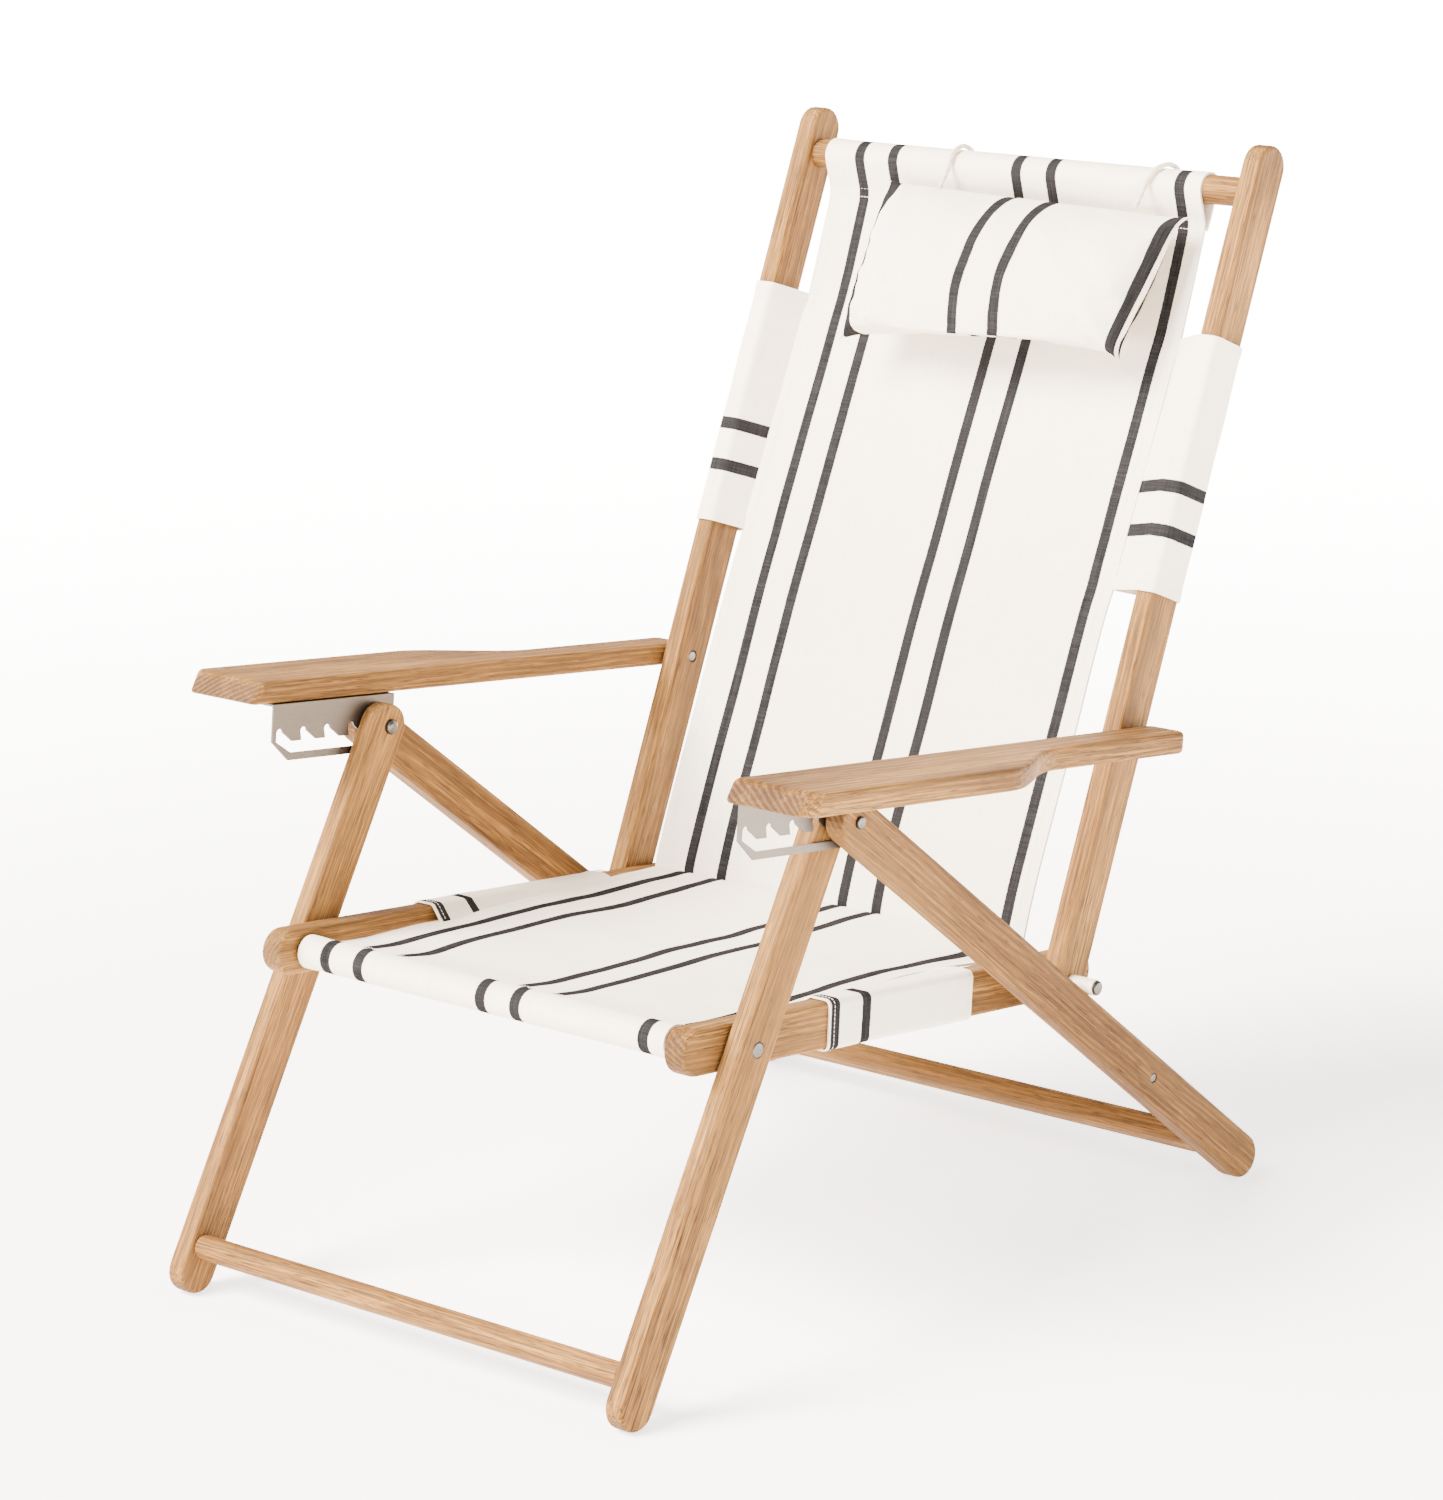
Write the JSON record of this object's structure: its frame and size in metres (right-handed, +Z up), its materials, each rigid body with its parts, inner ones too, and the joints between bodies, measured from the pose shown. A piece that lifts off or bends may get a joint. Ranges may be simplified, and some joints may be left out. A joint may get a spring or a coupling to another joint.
{
  "type": "folding beach chair",
  "caption": "Folding beach chair with a wooden frame, arms over a notched recline plate, striped canvas sling and a roped head pillow.",
  "frame": {"origin": "on the floor, under the centre of the chair's bounding box", "axes": "+Z up; the sitter faces -Y; the sitter's left is +X"},
  "size_m": [0.633, 0.7932, 0.8119],
  "materials": {
    "teak": "oiled satin",
    "brushed_steel": "brushed",
    "screw_steel": "satin",
    "nylon": "satin",
    "canvas": "plain weave",
    "rope": "twisted"
  },
  "bodies": {
    "front_legs": {"front_leg_left": "teak", "front_leg_right": "teak", "front_stretcher": "teak", "leg_pivot_nut_left": "screw_steel", "leg_pivot_nut_right": "screw_steel", "seat_pivot_screw_left": "screw_steel", "seat_pivot_screw_right": "screw_steel"},
    "rear_legs": {"rear_leg_left": "teak", "rear_leg_right": "teak", "rear_stretcher": "teak", "leg_pivot_screw_left": "screw_steel", "leg_pivot_screw_right": "screw_steel", "rear_leg_screw_left": "screw_steel", "rear_leg_screw_right": "screw_steel"},
    "seat": {"seat_rail_left": "teak", "seat_rail_right": "teak", "front_seat_dowel": "teak", "sling_seat": "canvas", "rail_sleeve_left": "canvas", "rail_sleeve_right": "canvas"},
    "back_pivot": {"back_pivot_screw_left": "screw_steel", "back_pivot_screw_right": "screw_steel", "pivot_bush_left": "nylon", "pivot_bush_right": "nylon"},
    "back": {"back_upright_left": "teak", "back_upright_right": "teak", "top_dowel": "teak", "sling_back": "canvas", "upright_sleeve_left": "canvas", "upright_sleeve_right": "canvas", "pillow_rope_left": "rope", "pillow_rope_right": "rope"},
    "arm_pivot_left": {"arm_pivot_screw_left": "screw_steel"},
    "arm_pivot_right": {"arm_pivot_screw_right": "screw_steel"},
    "arm_left": {"arm_left": "teak", "notch_bracket_left": "brushed_steel", "bracket_screw_front_left": "screw_steel", "bracket_screw_rear_left": "screw_steel"},
    "arm_right": {"arm_right": "teak", "notch_bracket_right": "brushed_steel", "bracket_screw_front_right": "screw_steel", "bracket_screw_rear_right": "screw_steel"},
    "pillow": {"pillow": "canvas"}
  },
  "joints": [
    {"name": "seat_fold", "type": "hinge", "parent": "front_legs", "child": "seat", "pos_m": [0, -0.2431, 0.2451], "axis": [-1, 0, 0], "range_deg": [0, 92]},
    {"name": "rear_leg_fold", "type": "hinge", "parent": "front_legs", "child": "rear_legs", "pos_m": [0, -0.15302, 0.3956], "axis": [-1, 0, 0], "range_deg": [0, 83.5]},
    {"name": "back_fold", "type": "hinge", "parent": "seat", "child": "back_pivot", "pos_m": [0, 0.11572, 0.20549], "axis": [-1, 0, 0], "range_deg": [-86.6, 0]},
    {"name": "back_recline", "type": "hinge", "parent": "back_pivot", "child": "back", "pos_m": [0, 0.11572, 0.20549], "axis": [-1, 0, 0], "range_deg": [0, 36.75]},
    {"name": "pillow_swing", "type": "hinge", "parent": "back", "child": "pillow", "pos_m": [0, 0.37072, 0.77555], "axis": [-1, 0, 0], "range_deg": [0, 270]},
    {"name": "arm_fold_left", "type": "hinge", "parent": "back", "child": "arm_pivot_left", "pos_m": [0.2455, 0.19477, 0.38221], "axis": [-1, 0, 0], "range_deg": [0, 90.8]},
    {"name": "arm_recline_left", "type": "hinge", "parent": "arm_pivot_left", "child": "arm_left", "pos_m": [0.2455, 0.19477, 0.38221], "axis": [-1, 0, 0], "range_deg": [-27.9, 0]},
    {"name": "arm_fold_right", "type": "hinge", "parent": "back", "child": "arm_pivot_right", "pos_m": [-0.2455, 0.19477, 0.38221], "axis": [-1, 0, 0], "range_deg": [0, 90.8]},
    {"name": "arm_recline_right", "type": "hinge", "parent": "arm_pivot_right", "child": "arm_right", "pos_m": [-0.2455, 0.19477, 0.38221], "axis": [-1, 0, 0], "range_deg": [-27.9, 0]}
  ],
  "couplings": [
    {"joint": "rear_leg_fold", "follows": "seat_fold", "ratio": 0.905},
    {"joint": "back_fold", "follows": "seat_fold", "ratio": -0.94},
    {"joint": "arm_fold_left", "follows": "seat_fold", "ratio": 0.985},
    {"joint": "arm_recline_left", "follows": "back_recline", "ratio": -0.756},
    {"joint": "arm_fold_right", "follows": "seat_fold", "ratio": 0.985},
    {"joint": "arm_recline_right", "follows": "back_recline", "ratio": -0.756}
  ]
}
